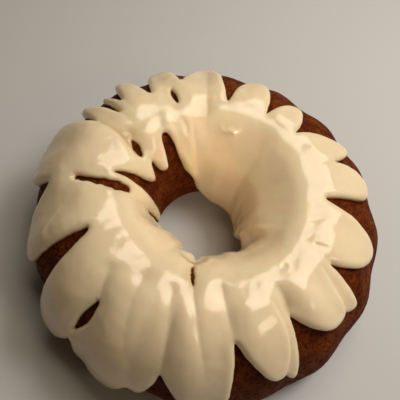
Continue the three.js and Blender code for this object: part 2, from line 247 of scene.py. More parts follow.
# Round dents and swellings: a place, a radius and a depth, which is below 0 for a swelling.
DENTS = (
    ((154, 114), 10.0, -0.3),
    ((159, 112.5), 4.5, -0.25),
    ((168, 114), 10.0, -0.4),
    ((220, 109), 6.0, -0.3),
    ((68, 104), 8.0, -0.5),
    ((80, 104), 8.0, -0.5),
    ((314, 112.5), 1.7, 0.5),
    ((261, 142), 7.0, 2.2),
)


# ---- Sizes and colours
class CakeSizes(PropertyGroup):
    """The baked ring."""

    height: FloatProperty(name="Height", description="Foot to crest", default=CAKE_TOP, unit="LENGTH")
    radius: FloatProperty(
        name="Radius", description="At the widest place of the wall", default=0.122, unit="LENGTH")
    crest_radius: FloatProperty(
        name="Crest radius", description="Of the ring's highest line", default=0.066, unit="LENGTH")
    foot_radius: FloatProperty(
        name="Foot radius", description="Where the wall meets the floor", default=0.115, unit="LENGTH")
    hole_radius: FloatProperty(
        name="Hole radius", description="At the funnel's lower edge", default=0.0365, unit="LENGTH")
    widest_height: FloatProperty(
        name="Widest height", description="Height of the widest place", default=0.018, unit="LENGTH")
    hole_edge_height: FloatProperty(
        name="Hole edge height", description="Height of the funnel's lower edge", default=0.009,
        unit="LENGTH")
    foot_inner_radius: FloatProperty(
        name="Foot inner radius", description="Inner edge of the flat foot", default=0.054, unit="LENGTH")
    outer_fullness: FloatProperty(
        name="Wall fullness", description="2 is an ellipse and more is squarer", default=2.1)
    inner_fullness: FloatProperty(
        name="Funnel fullness", description="2 is an ellipse and more is squarer", default=2.2)
    flutes: IntProperty(name="Flutes", description="Soft flutes round the wall", default=16)
    flute_depth: FloatProperty(
        name="Flute depth", description="Half the height of a flute", default=0.0012, unit="LENGTH")
    oval_depth: FloatProperty(
        name="Oval depth", description="How far the ring is out of round", default=0.0016, unit="LENGTH")
    roughness: FloatProperty(
        name="Relief", description="Height of the crust's unevenness", default=0.0005, unit="LENGTH")
    grain: FloatProperty(
        name="Mesh grain", description="Spacing of the bare crust's vertices", default=0.0010,
        unit="LENGTH")


class IcingSizes(PropertyGroup):
    """The poured coat."""

    depth: FloatProperty(
        name="Depth", description="Thickness between the streams", default=0.0046, unit="LENGTH")
    rim: FloatProperty(
        name="Rim width", description="Width of the rounded edge", default=0.0042, unit="LENGTH")
    bulge: FloatProperty(
        name="Bulge", description="How far the edge stands out over its foot", default=0.0005,
        unit="LENGTH")
    stream_depth: FloatProperty(
        name="Stream depth", description="Extra thickness along a stream", default=0.0013,
        unit="LENGTH")
    pool_depth: FloatProperty(
        name="Pool depth", description="Extra thickness at a stream's low end", default=0.0012,
        unit="LENGTH")
    inner_thinning: FloatProperty(
        name="Inner thinning", description="How much thinner the coat is just inside the crest",
        default=0.002, unit="LENGTH")
    sag: FloatProperty(
        name="Sag", description="Extra thickness low in the funnel", default=0.005, unit="LENGTH")
    wobble: FloatProperty(
        name="Wobble", description="Unevenness of the edge", default=0.0004, unit="LENGTH")
    waviness: FloatProperty(
        name="Waviness", description="Unevenness of the surface", default=0.0005, unit="LENGTH")
    grain: FloatProperty(
        name="Mesh grain", description="Spacing of the icing's vertices", default=0.0013, unit="LENGTH")


class CakeColours(PropertyGroup):
    """Colours of the crust, the icing and the floor."""

    crust: FloatVectorProperty(
        name="Crust", description="Browned crust", subtype="COLOR", size=3, default=(0.122, 0.0192, 0.0020))
    crust_light: FloatVectorProperty(
        name="Light crust", description="Paler patches", subtype="COLOR", size=3,
        default=(0.22, 0.048, 0.0060))
    # The darkest crust colour: the crust's own darker patches, and also the painted shade in pores, pits
    # and wrinkles and beside the icing.
    crust_dark_and_shade: FloatVectorProperty(
        name="Dark crust", description="Pores and darker patches", subtype="COLOR", size=3,
        default=(0.036, 0.0065, 0.0015))
    cream: FloatVectorProperty(
        name="Icing", description="Thick icing", subtype="COLOR", size=3, default=(0.95, 0.75, 0.485))
    cream_thin: FloatVectorProperty(
        name="Thin icing", description="Icing where it is thin", subtype="COLOR", size=3,
        default=(0.68, 0.45, 0.21))
    floor: FloatVectorProperty(
        name="Floor", description="Studio floor", subtype="COLOR", size=3, default=(0.62, 0.60, 0.57))


class StageSizes(PropertyGroup):
    """The camera and the lights."""

    distance: FloatProperty(
        name="Distance", description="Camera to target", default=0.372, unit="LENGTH")
    elevation: FloatProperty(
        name="Elevation", description="Camera above the horizon", default=math.radians(63.3),
        unit="ROTATION")
    roll: FloatProperty(
        name="Roll", description="Camera turned about its axis", default=math.radians(4.0),
        unit="ROTATION")
    lens: FloatProperty(name="Lens", description="Focal length in millimetres", default=46.8)
    key: FloatProperty(name="Key light", description="Power of the light on the right", default=2.45)
    top: FloatProperty(name="Top light", description="Power of the light above", default=5.3)
    fill: FloatProperty(name="Fill light", description="Power of the front light", default=0.52)
    funnel: FloatProperty(
        name="Funnel light", description="Power of the narrow light into the funnel", default=0.0056)
    sky: FloatProperty(name="Surroundings", description="Brightness all round", default=0.04)


# ---- The crust's form
class Crust:
    """The crust's profile, turned about the hole's axis, in millimetres."""

    def __init__(self, sizes):
        turn = np.arange(PROFILE_STEPS) / PROFILE_STEPS * math.pi / 2
        foot, wide = sizes.foot_radius / MM, sizes.radius / MM
        crest, hole = sizes.crest_radius / MM, sizes.hole_radius / MM
        low, top, edge = sizes.widest_height / MM, sizes.height / MM, sizes.hole_edge_height / MM
        outer, inner = 2 / sizes.outer_fullness, 2 / sizes.inner_fullness
        back = math.pi / 2 - np.append(turn, math.pi / 2)
        self.radius = np.concatenate([
            foot + (wide - foot) * np.sin(turn),
            crest + (wide - crest) * np.cos(turn) ** outer,
            crest - (crest - hole) * np.cos(back) ** inner,
        ])
        self.height = np.concatenate([
            low * np.arange(PROFILE_STEPS) / PROFILE_STEPS,
            low + (top - low) * np.sin(turn) ** outer,
            edge + (top - edge) * np.sin(back).clip(0) ** inner,
        ])
        steps = np.hypot(np.diff(self.radius), np.diff(self.height))
        self.length = np.concatenate([[0], np.cumsum(steps)])
        self.widest = self.length[PROFILE_STEPS]
        self.crest_radius = crest
        self.crest = self.length[2 * PROFILE_STEPS]
        self.end = self.length[-1]
        turning = steps * 2 / (self.radius[1:] + self.radius[:-1])
        self.flat_radius = FLAT_SIZE * np.exp(-np.concatenate([[0], np.cumsum(turning)]))
        self.sizes = sizes

    def radius_at(self, length):
        return np.interp(length, self.length, self.radius)

    def flat(self, angle, length):
        """The crust laid out flat as a ring, without changing small shapes."""
        radius = np.interp(length, self.length, self.flat_radius)
        turn = np.radians(angle)
        return np.column_stack([radius * np.cos(turn), radius * np.sin(turn)])

    def swell(self, angle, length):
        """Soft flutes on a slightly oval ring, as in the solids."""
        flute = self.sizes.flute_depth / MM * np.cos(np.radians(self.sizes.flutes * (angle - FLUTE_ANGLE)))
        oval = self.sizes.oval_depth / MM * np.cos(np.radians(2 * (angle - OVAL_ANGLE)))
        low = smooth(length, 0, self.widest)
        high = 1 - smooth(length, self.crest - FLUTES_END, self.crest)
        return (flute + oval) * low * high

    def directions(self, angle, length):
        """Unit vectors round the ring, along the crust and out of it."""
        before, after = np.clip(length - 1, 0, None), np.clip(length + 1, None, self.end)
        rise = np.interp(after, self.length, self.height) - np.interp(before, self.length, self.height)
        run = self.radius_at(after) - self.radius_at(before)
        size = np.hypot(rise, run)
        rise, run = rise / size, run / size
        turn = np.radians(angle)
        cos, sin, none = np.cos(turn), np.sin(turn), np.zeros_like(turn)
        around = np.column_stack([-sin, cos, none])
        along = np.column_stack([run * cos, run * sin, rise])
        out = np.column_stack([rise * cos, rise * sin, -run])
        return around, along, out

    def place(self, angle, length, height=0.0):
        """Points the given height above the crust."""
        turn = np.radians(angle)
        radius = self.radius_at(length)
        level = np.interp(length, self.length, self.height)
        base = np.column_stack([radius * np.cos(turn), radius * np.sin(turn), level])
        out = self.directions(angle, length)[2]
        return base + out * (self.swell(angle, length) + height)[:, None]

    def moved(self, angle, length, sideways, onwards):
        """Places moved by distances in millimetres round the ring and along the crust."""
        return angle + np.degrees(sideways / self.radius_at(length)), length + onwards


def smooth(value, low, high):
    """A soft climb from 0 to 1 as the value goes from low to high."""
    t = np.clip((value - low) / (high - low), 0, 1)
    return t * t * (3 - 2 * t)


def past_crest(crust, length, band):
    """How far places are through a band past the crest, from 0 to 1."""
    start, end = band
    return smooth(length, crust.crest + start, crust.crest + end)


def grain_noise(points, name):
    """Soft noise from -1 to 1 at each point."""
    scale, seed = NOISES[name]
    shift = Vector((seed * 17.3, seed * 5.1, seed * 9.7))
    return np.array([noise.noise(Vector(point) / scale + shift) for point in points])


# ---- Lines on the crust
def spread_evenly(crust, angle, length, spacing):
    """A closed line of places, spread evenly along itself."""
    whole = round((angle[-1] - angle[0]) / 360) * 360
    angle, length = np.append(angle, angle[0] + whole), np.append(length, length[0])
    points = crust.place(angle, length)
    walked = np.concatenate([[0], np.cumsum(np.linalg.norm(np.diff(points, axis=0), axis=1))])
    count = max(int(walked[-1] / spacing), 8)
    at = np.arange(count) * walked[-1] / count
    return np.interp(at, walked, angle), np.interp(at, walked, length)


def blurred(values, reach):
    """Values round a closed line, averaged with their neighbours."""
    shifts = range(-3 * reach, 3 * reach + 1)
    weights = [math.exp(-0.5 * (shift / reach) ** 2) for shift in shifts]
    total = sum(weight * np.roll(values, shift, axis=0) for shift, weight in zip(shifts, weights))
    return total / sum(weights)


def stream_edge(streams):
    """The icing's edge, down each stream's near side to its tip and up its far side."""
    angles, lengths = [], []
    start = streams[0]["notch"][0]
    for index, stream in enumerate(streams):
        end, end_length = streams[(index + 1) % len(streams)]["notch"]
        start_length = stream["notch"][1]
        tip, low = stream["tip"]
        tip += 360 * (tip < start - MOST_LEAN)
        while end < tip:
            end += 360
        rounds, fulls = stream["round"], stream.get("full", (1, 1))
        across = np.linspace(1, 0, SIDE_STEPS, endpoint=False)
        angles += [tip + (start - tip) * across, tip + (end - tip) * (1 - across)]
        lengths += [
            low + (start_length - low) * (1 - (1 - across ** rounds[0]) ** fulls[0]),
            low + (end_length - low) * (1 - (1 - (1 - across) ** rounds[1]) ** fulls[1]),
        ]
        start = end
    return np.concatenate(angles), np.concatenate(lengths)


def slit_edge(crust, slit):
    """The edge of a slit, up one side of its path and down the other."""
    angle, length, at = smooth_path(slit["path"])
    knots = list(enumerate(slit["half"]))
    half = smooth_path(knots)[1] * np.sqrt(1 - (2 * at - 1) ** 8) + SLIT_LEAST
    left = left_of(crust, angle, length)
    sides = []
    for turn in (1, -1):
        places = crust.moved(angle, length, *(left * half[:, None] * turn).T)
        ragged = slit.get("ragged", 0) * grain_noise(crust.place(*places), "ragged")
        width = half + ragged * np.minimum(half, RAGGED_WIDTH)
        sides.append(crust.moved(angle, length, *(left * width[:, None] * turn).T))
    (angle_a, length_a), (angle_b, length_b) = sides
    return np.concatenate([angle_a, angle_b[::-1]]), np.concatenate([length_a, length_b[::-1]])


def smooth_path(path, steps=PATH_STEPS):
    """A smooth open line through a few places, with how far along each point is, from 0 to 1."""
    knots = np.array([path[0], *path, path[-1]], float)
    pieces = len(path) - 1
    at = np.linspace(0, pieces, steps)
    piece = np.minimum(at.astype(int), pieces - 1)
    t = (at - piece)[:, None]
    a, b, c, d = (knots[piece + step] for step in range(4))
    line = b + t / 2 * (c - a + t * (2 * a - 5 * b + 4 * c - d + t * (3 * (b - c) + d - a)))
    return line[:, 0], line[:, 1], at / pieces


def left_of(crust, angle, length):
    """The direction to the left of a line of places, as distances round the ring and along the crust."""
    sideways = np.gradient(np.radians(angle)) * crust.radius_at(length)
    onwards = np.gradient(length)
    size = np.hypot(sideways, onwards)
    return np.column_stack([-onwards / size, sideways / size])


class Edge:
    """One closed edge of the icing: its places, and the way from each into the icing."""

    def __init__(self, crust, angle, length, side, sizes):
        spacing = sizes.grain / MM * EDGE_SPACING
        angle, length = spread_evenly(crust, angle, length, spacing)
        ramp = np.arange(len(angle)) / len(angle) * 360 * (side != "slit")
        angle, length = blurred(angle - ramp, EDGE_BLUR) + ramp, blurred(length, EDGE_BLUR)
        inward = self.inward(crust, angle, length, side)
        points = crust.place(angle, length)
        wobble = grain_noise(points, "wobble")
        wobble += FINE_WOBBLE_SHARE * grain_noise(points, "fine_wobble")
        straight = np.linalg.norm(blurred(inward, 2), axis=1)
        wobble = wobble * sizes.wobble / MM * straight ** 3 * (SLIT_WOBBLE if side == "slit" else 1)
        self.angle, self.length = crust.moved(angle, length, *(inward * wobble[:, None]).T)
        self.way_in = self.inward(crust, self.angle, self.length, side)
        self.points = crust.place(self.angle, self.length)
        self.rim_share = SLIT_RIM if side == "slit" else 1

    def inward(self, crust, angle, length, side):
        """The way into the icing at each place, as distances round the ring and along the crust."""
        whole = 360 if side != "slit" else 0
        angle = np.concatenate([[angle[-1] - whole], angle, [angle[0] + whole]])
        length = np.concatenate([[length[-1]], length, [length[0]]])
        left = left_of(crust, angle, length)[1:-1]
        if side == "slit":
            turning = np.sum(angle[:-1] * length[1:] - angle[1:] * length[:-1])
            return -left if turning > 0 else left
        return left if side == "outer" else -left


def icing_edges(crust, sizes):
    """The icing's outer edge, its inner edge and the slits' edges."""
    edges = [
        Edge(crust, *stream_edge(OUTER_STREAMS), "outer", sizes),
        Edge(crust, *stream_edge(INNER_STREAMS), "inner", sizes),
    ]
    return edges + [Edge(crust, *slit_edge(crust, slit), "slit", sizes) for slit in SLITS]


class EdgeMap:
    """Finds how far any place is from the icing's edge, and which way the edge lies."""

    def __init__(self, crust, edges, rim):
        self.crust = crust
        self.loops = [crust.flat(edge.angle, edge.length) for edge in edges]
        points = []
        for edge in edges:
            ahead = np.roll(edge.points, -1, axis=0)
            points += [edge.points + (ahead - edge.points) * part for part in (0, 0.25, 0.5, 0.75)]
        self.points = np.vstack(points)
        self.tree = tree_of(self.points)
        self.rim = np.concatenate([np.tile(self.room(edge, rim * edge.rim_share), 4) for edge in edges])

    def room(self, edge, rim):
        """The width that the rounded rim has at each place of an edge, less where the icing is narrow."""
        room = np.full(len(edge.angle), NARROWEST_RIM)
        open_ = np.ones(len(room), bool)
        for radius in np.linspace(NARROWEST_RIM, rim, RIM_TRIES):
            angle, length = self.crust.moved(edge.angle, edge.length, *(edge.way_in * radius).T)
            distance = self.nearest(self.crust.place(angle, length))[0]
            open_ &= distance > RIM_ROOM * radius
            room[open_] = radius
        return blurred(room, RIM_BLUR)

    def nearest(self, points):
        """The distance from each point to the nearest edge, and the number of the edge's point there."""
        found = [self.tree.find(point) for point in points]
        return np.array([hit[2] for hit in found]), np.array([hit[1] for hit in found])

    def inside(self, flat):
        """Which places of the flat layout lie under the icing: inside an odd number of its edges."""
        odd = np.zeros(len(flat), bool)
        for loop in self.loops:
            ahead = np.roll(loop, -1, axis=0)
            slope = (ahead[:, 0] - loop[:, 0]) / (ahead[:, 1] - loop[:, 1] + TINY)
            low, high = loop.min(axis=0), loop.max(axis=0)
            near = np.flatnonzero(((flat >= low) & (flat <= high)).all(axis=1))
            for part in np.array_split(near, len(near) // PLACES_AT_ONCE + 1):
                x, y = flat[part, 0][:, None], flat[part, 1][:, None]
                crosses = (loop[:, 1] > y) != (ahead[:, 1] > y)
                crosses &= x < loop[:, 0] + slope * (y - loop[:, 1])
                odd[part] ^= crosses.sum(axis=1) % 2 == 1
        return odd


def tree_of(points):
    """A tree that finds the nearest of the points."""
    tree = kdtree.KDTree(len(points))
    for index, point in enumerate(points):
        tree.insert(point, index)
    tree.balance()
    return tree


# ---- The icing's surface
class Guide:
    """A smooth line on the crust that a fold or a crease follows."""

    def __init__(self, crust, path):
        self.angle, self.length, self.at = smooth_path(path)
        self.left = left_of(crust, self.angle, self.length)
        self.points = crust.place(self.angle, self.length)
        around, along, _ = crust.directions(self.angle, self.length)
        self.left_points = around * self.left[:, :1] + along * self.left[:, 1:]

    def offsets(self, points, reach):
        """For the points within reach: their numbers, distance to the left of the line, and how far
        along it they are."""
        low, high = self.points.min(axis=0) - reach, self.points.max(axis=0) + reach
        near = np.flatnonzero(((points > low) & (points < high)).all(axis=1))
        apart = points[near][:, None, :] - self.points[None]
        foot = np.argmin((apart ** 2).sum(axis=2), axis=1)
        gap = apart[np.arange(len(near)), foot]
        aside = (gap * self.left_points[foot]).sum(axis=1)
        beyond = np.sqrt(np.maximum((gap ** 2).sum(axis=1) - aside ** 2, 0))
        ends = (foot == 0) | (foot == len(self.at) - 1)
        close = ~ends | (beyond < 1)
        return near[close], aside[close], self.at[foot[close]]


def side_of_stream(streams, angle):
    """At each angle: how thin the icing gets to the side of its stream, from 0 along the middle to 1
    at a long notch, and the stream's lowest length and extra depth, which change over at the notch."""
    aside, low, deep = np.ones_like(angle), np.ones_like(angle), np.zeros_like(angle)
    for index, stream in enumerate(streams):
        tip, reach = stream["tip"]
        before, after = streams[index - 1], streams[(index + 1) % len(streams)]
        for notch, beside in ((stream["notch"], before), (after["notch"], after)):
            span = (notch[0] - tip + 180) % 360 - 180
            if (span < 0) != (beside is before):
                continue
            part = ((angle - tip + 180) % 360 - 180) / span
            here = (part >= 0) & (part <= 1) & ((angle - stream["notch"][0]) % 360 < 180)
            part = part[here] ** 2
            groove = min(abs(notch[1] - other["tip"][1]) for other in (stream, beside))
            aside[here] = part * min(groove / LONG_NOTCH, 1)
            low[here] = reach + part * (beside["tip"][1] - reach) / 2
            own, other = stream.get("deep", 0), beside.get("deep", 0)
            deep[here] = own + part * (other - own) / 2
    return aside, low, deep


def sag(crust, angle, length):
    """How far the icing has sagged down the funnel at each place, as a share of the sag's depth."""
    share = np.zeros_like(angle)
    for (start, first), (end, second) in zip(SAG, SAG[1:] + SAG[:1]):
        part = (angle - start) % 360 / ((end - start) % 360)
        here = part < 1
        share[here] = first + (second - first) * smooth(part[here], 0, 1)
    return share * past_crest(crust, length, SAG_BAND)


def crease_depth(crust, points):
    """How deep the creases are at each point."""
    deep = np.zeros(len(points))
    for crease in CREASES:
        near, aside, at = Guide(crust, crease["path"]).offsets(points, 4 * crease["width"])
        taper = smooth(at, 0, 0.3) * (1 - smooth(at, 0.55, 1))
        deep[near] += crease["depth"] * taper * np.exp(-np.abs(aside / crease["width"]) ** 1.3)
    return deep


def fold_depth(crust, points):
    """How far the folds take the surface down at each point: a rounded shoulder on the high side, and a
    long slope on the low side."""
    deep = np.zeros(len(points))
    for fold in FOLDS:
        near, aside, at = Guide(crust, fold["path"]).offsets(points, 2 * fold["reach"])
        taper = smooth(at, 0, 0.12) * (1 - smooth(at, 0.7, 1))
        inward = 1 - np.clip(aside / FOLD_SHOULDER, 0, 1)
        high = 1 - np.sqrt(1 - inward ** 2)
        low = np.exp(-np.abs(aside / fold["reach"]) ** 2)
        deep[near] += fold["drop"] * taper * np.where(aside > 0, high, low)
    return deep


def dent_depth(crust, points):
    """How deep the dents are at each point, below 0 on their lips and on the swellings."""
    deep = np.zeros(len(points))
    for place, radius, most in DENTS:
        middle = crust.place(*np.array([place], float).T)
        apart = np.linalg.norm(points - middle, axis=1) / radius
        deep += most * np.exp(-apart ** 2)
        if most > 0:
            deep -= most * DENT_LIP * np.exp(-((apart - 1.5) / 0.5) ** 2)
    return deep


def icing_waves(crust, points, angle, length):
    """The surface's soft waves and streaks, from about -1 to 1."""
    waves = grain_noise(points, "waves") + RIPPLE_SHARE * grain_noise(points, "ripples")
    turn = np.radians(angle)
    flow = crust.crest_radius / STREAK_WIDTH, crust.crest_radius / STREAK_WIDTH, 1 / STREAK_LENGTH
    streaks = grain_noise(np.column_stack([np.cos(turn), np.sin(turn), length]) * flow, "streaks")
    beside = np.abs((angle - STREAKED + 180) % 360 - 180)
    calm = MOST_CALM * past_crest(crust, length, CALM_BAND)
    calm *= LEAST_CALM + (1 - LEAST_CALM) * smooth(beside, *STREAKED_REACH)
    waves += STREAK_SHARE * streaks * (1 - calm)
    return waves * (1 - MOST_STILL * past_crest(crust, length, STILL_BAND))


def icing_depth(crust, angle, length, sizes):
    """The icing's thickness away from its edges: a coat with streams that pool at their low ends."""
    depth = np.full(len(angle), sizes.depth / MM)
    for streams, outside in ((OUTER_STREAMS, True), (INNER_STREAMS, False)):
        here = (length < crust.crest) == outside
        aside, low, deep = side_of_stream(streams, angle[here])
        reach = np.clip((crust.crest - length[here]) / (crust.crest - low), 0, 1)
        stream = (sizes.stream_depth / MM + deep) * smooth(reach, 0, 0.3)
        pool = sizes.pool_depth / MM * smooth(reach, 0.5, 0.9)
        depth[here] += (stream + pool) * (1 - aside)
    depth += sizes.sag / MM * sag(crust, angle, length)
    inner = past_crest(crust, length, THINNER_BAND) * (1 - past_crest(crust, length, THICKER_BAND))
    depth -= sizes.inner_thinning / MM * inner
    points = crust.place(angle, length)
    depth -= crease_depth(crust, points) + fold_depth(crust, points) + dent_depth(crust, points)
    return depth + icing_waves(crust, points, angle, length) * sizes.waviness / MM


def icing_surface(crust, edge_map, angle, length, sizes):
    """Points of the icing's upper side, and how thin it is there from 0 to 1."""
    base = crust.place(angle, length)
    distance, sample = edge_map.nearest(base)
    rim = edge_map.rim[sample]
    narrow = (rim / (sizes.rim / MM)) ** 0.5
    depth = icing_depth(crust, angle, length, sizes)
    depth *= 1 - (1 - narrow) * (1 - smooth(distance, 0, NARROW_REACH))
    rise = np.clip(distance / rim, 0, 1) * math.pi / 2
    height = depth * np.sin(rise)
    outward = np.where(distance < rim, distance - rim * (1 - np.cos(rise)), 0)
    outward += sizes.bulge / MM * np.sin(2 * rise)
    around, along, _ = crust.directions(angle, length)
    way = edge_map.points[sample] - base
    way /= np.maximum(np.linalg.norm(way, axis=1), TINY)[:, None]
    sideways, onwards = (way * around).sum(axis=1) * outward, (way * along).sum(axis=1) * outward
    angle, length = crust.moved(angle, length, sideways, onwards)
    return crust.place(angle, length, height), 1 - np.clip(height / (sizes.depth / MM), 0, 1)


# ---- Meshes
def thinned(points, kept, spacing):
    """Which points stand at least the spacing apart, and from those kept before."""
    good = np.ones(len(points), bool)
    if len(kept):
        before = tree_of(kept)
        good &= np.array([before.find(point)[2] for point in points]) > spacing
    among = tree_of(points)
    for index in np.flatnonzero(good):
        if good[index]:
            for _, other, _ in among.find_range(points[index], spacing):
                if other > index:
                    good[other] = False
    return good


def lattice(crust, spacing, start, end):
    """Places spread evenly over the crust, in staggered rows."""
    rows = np.arange(start + spacing / 2, end, spacing * ROW_STEP)
    angles, lengths = [], []
    for index, length in enumerate(rows):
        count = int(2 * math.pi * crust.radius_at(length) / spacing)
        angles.append((np.arange(count) + index % 2 / 2) * 360 / count)
        lengths.append(np.full(count, length))
    return np.concatenate(angles), np.concatenate(lengths)


def triangulated(crust, angle, length, loops, wanted):
    """Triangles between places, which keep to the closed lines; of those that have all their corners
    on these lines, only those wanted, by their middles in the flat layout."""
    lines = []
    start = 0
    for count in loops:
        lines += [(start + step, start + (step + 1) % count) for step in range(count)]
        start += count
    flat = crust.flat(angle, length)
    result = delaunay_2d_cdt([Vector(point) for point in flat], lines, [], 0, TINY)
    origin = np.array([sources[0] if sources else -1 for sources in result[3]])
    if (origin < 0).any():
        raise RuntimeError("two edges of the icing cross")
    faces = origin[np.array(result[2])]
    keep = (faces >= start).any(axis=1)
    unsure = np.flatnonzero(~keep)
    keep[unsure] = wanted(flat[faces[unsure]].mean(axis=1))
    return faces[keep]


def mesh_object(name, points, faces, attributes):
    """A smooth-shaded mesh, with the points in millimetres about the hole's axis. Two faces with the
    same corners enclose nothing, so both are left out, and so are the points that no face uses."""
    _, which, count = np.unique(np.sort(faces, axis=1), axis=0, return_inverse=True, return_counts=True)
    used, faces = np.unique(faces[count[which.ravel()] == 1], return_inverse=True)
    mesh = bpy.data.meshes.new(name)
    placed = (points[used] + (0, HOLE_BEHIND, 0)) * MM
    mesh.from_pydata(placed.tolist(), [], faces.reshape(-1, 3).tolist())
    for label, values in attributes.items():
        layer = mesh.attributes.new(label, "FLOAT", "POINT")
        layer.data.foreach_set("value", np.asarray(values, "f")[used])
    mesh.validate()
    mesh.shade_smooth()
    piece = bpy.data.objects.new(name, mesh)
    bpy.context.scene.collection.objects.link(piece)
    return piece


def icing_places(crust, edge_map, edges, sizes):
    """Places of the icing's upper side: its edges, rows along them and along the folds, and between."""
    grain = sizes.grain / MM
    angle = np.concatenate([edge.angle for edge in edges])
    length = np.concatenate([edge.length for edge in edges])
    rows = []
    for step in RIM_ROWS:
        for edge in edges:
            places = crust.moved(edge.angle, edge.length, *(edge.way_in * step).T)
            rows.append((places, RIM_ROW_ROOM * step))
    for feature in FOLDS + CREASES:
        guide = Guide(crust, feature["path"])
        for step in GUIDE_ROWS:
            rows.append((crust.moved(guide.angle, guide.length, *(guide.left * step).T), grain / 2))
    rows.append((lattice(crust, grain, 0, crust.end), grain / 2))
    kept = crust.place(angle, length)
    for (row_angle, row_length), least in rows:
        points = crust.place(row_angle, row_length)
        good = edge_map.nearest(points)[0] > least
        good[good] = edge_map.inside(crust.flat(row_angle[good], row_length[good]))
        good[good] = thinned(points[good], kept, ICING_THINNING * grain)
        angle = np.concatenate([angle, row_angle[good]])
        length = np.concatenate([length, row_length[good]])
        kept = np.vstack([kept, points[good]])
    return angle, length


def build_icing(crust, edge_map, edges, sizes):
    """A closed coat: its detailed upper side, and a plain underside just inside the crust."""
    angle, length = icing_places(crust, edge_map, edges, sizes)
    counts = [len(edge.angle) for edge in edges]
    border = sum(counts)
    top = triangulated(crust, angle, length, counts, edge_map.inside)
    points, thin = icing_surface(crust, edge_map, angle, length, sizes)
    points[:border] = crust.place(angle[:border], length[:border], -ICING_ROOT)
    below_angle, below_length = lattice(crust, UNDERSIDE_SPACING, 0, crust.end)
    below = crust.place(below_angle, below_length)
    good = edge_map.nearest(below)[0] > UNDERSIDE_SPACING / 2
    good &= edge_map.inside(crust.flat(below_angle, below_length))
    below_angle = np.concatenate([angle[:border], below_angle[good]])
    below_length = np.concatenate([length[:border], below_length[good]])
    bottom = triangulated(crust, below_angle, below_length, counts, edge_map.inside)
    below = crust.place(below_angle[border:], below_length[border:], -2 * ICING_ROOT)
    bottom = np.where(bottom >= border, bottom + len(points) - border, bottom)[:, ::-1]
    faces = np.vstack([top, bottom])
    attributes = {"thin": np.concatenate([thin, np.ones(len(below))])}
    return mesh_object("poured_icing", np.vstack([points, below]), faces, attributes)


# ---- The crust's mesh
def crust_places(crust, edge_map, sizes):
    """Places on the crust: rings at both ends, close together where it is bare, and far apart elsewhere."""
    turn = np.arange(RING_POINTS) * 360 / RING_POINTS
    angle = np.concatenate([turn, turn])
    length = np.concatenate([np.full(RING_POINTS, FOOT_EDGE), np.full(RING_POINTS, crust.end)])
    kept = crust.place(angle, length)
    grain = sizes.grain / MM
    for spacing, bare in ((grain, True), (COVERED_SPACING, False)):
        row_angle, row_length = lattice(crust, spacing, FOOT_EDGE, crust.end)
        points = crust.place(row_angle, row_length)
        far = edge_map.nearest(points)[0] > COVERED_MARGIN
        covered = edge_map.inside(crust.flat(row_angle, row_length)) & far
        good = covered != bare
        good[good] = thinned(points[good], kept, spacing * CRUST_THINNING)
        angle = np.concatenate([angle, row_angle[good]])
        length = np.concatenate([length, row_length[good]])
        kept = np.vstack([kept, points[good]])
    return angle, length


def crust_relief(points, sizes):
    """The crust's unevenness in millimetres, soft swells with scattered pits, and how deep the pits
    are from 0 to 1."""
    swell = (1 - FINE_SWELL_SHARE) * grain_noise(points, "swells")
    swell += FINE_SWELL_SHARE * grain_noise(points, "fine_swells")
    pit = smooth(grain_noise(points, "pits"), *PITS_FROM)
    return sizes.roughness / MM * (swell - PIT_DEPTH * pit), pit


def build_crust(crust, edge_map, sizes):
    """A closed ring: the crust with its relief, and rounds of points across the underside."""
    angle, length = crust_places(crust, edge_map, sizes)
    ring = (length > FOOT_EDGE) & (length < crust.end)
    flat_hole = crust.flat_radius[-1]
    faces = triangulated(
        crust, angle, length, [RING_POINTS, RING_POINTS],
        lambda flat: np.hypot(flat[:, 0], flat[:, 1]) > flat_hole)
    base = crust.place(angle, length)
    relief, pit = crust_relief(base, sizes)
    points = crust.place(angle, length, relief * ring)
    under, turn = [points], np.radians(angle[:RING_POINTS])
    foot, inner = sizes.foot_radius / MM, sizes.foot_inner_radius / MM
    middle = (inner + sizes.hole_radius / MM) / 2
    for radius, height in ((foot - FOOT_EDGE, 0), (inner, 0), (middle, UNDERSIDE_HEIGHT)):
        under.append(np.column_stack([
            radius * np.cos(turn), radius * np.sin(turn), np.full(RING_POINTS, height)]))
    rounds = [0, *(len(points) + step * RING_POINTS for step in range(3)), RING_POINTS]
    ahead = (np.arange(RING_POINTS) + 1) % RING_POINTS
    for first, second in zip(rounds, rounds[1:]):
        here, there = first + np.arange(RING_POINTS), second + np.arange(RING_POINTS)
        faces = np.vstack([
            faces,
            np.column_stack([here, there, first + ahead]),
            np.column_stack([first + ahead, there, second + ahead]),
        ])
    # Painted shade on the crust: full where the icing covers it, and fading with distance from the icing's
    # edge.
    covered = edge_map.inside(crust.flat(angle, length))
    near = np.exp(-edge_map.nearest(base)[0] / SHADE_BY_ICING_REACH)
    none = np.zeros(3 * RING_POINTS)
    attributes = {
        "near_icing": np.concatenate([np.where(covered, 1, near), none]),
        "pit": np.concatenate([pit * ring, none]),
    }
    return mesh_object("baked_crust", np.vstack(under), faces, attributes)


# ---- Materials
def new_material(name):
    """A material with nothing but its shader."""
    material = bpy.data.materials.new(name)
    material.use_nodes = True
    nodes = material.node_tree.nodes
    nodes.clear()
    shader = nodes.new("ShaderNodeBsdfPrincipled")
    output = nodes.new("ShaderNodeOutputMaterial")
    material.node_tree.links.new(shader.outputs["BSDF"], output.inputs["Surface"])
    return material, shader


def feed(tree, node, inputs):
    """Links or sets a node's inputs, each given with another node's socket or a value."""
    for name, value in inputs.items():
        if isinstance(value, bpy.types.NodeSocket):
            tree.links.new(value, node.inputs[name])
        else:
            node.inputs[name].default_value = value


def add(tree, kind, inputs, **settings):
    """A node with its inputs and settings."""
    node = tree.nodes.new(kind)
    for name, value in settings.items():
        setattr(node, name, value)
    feed(tree, node, inputs)
    return node


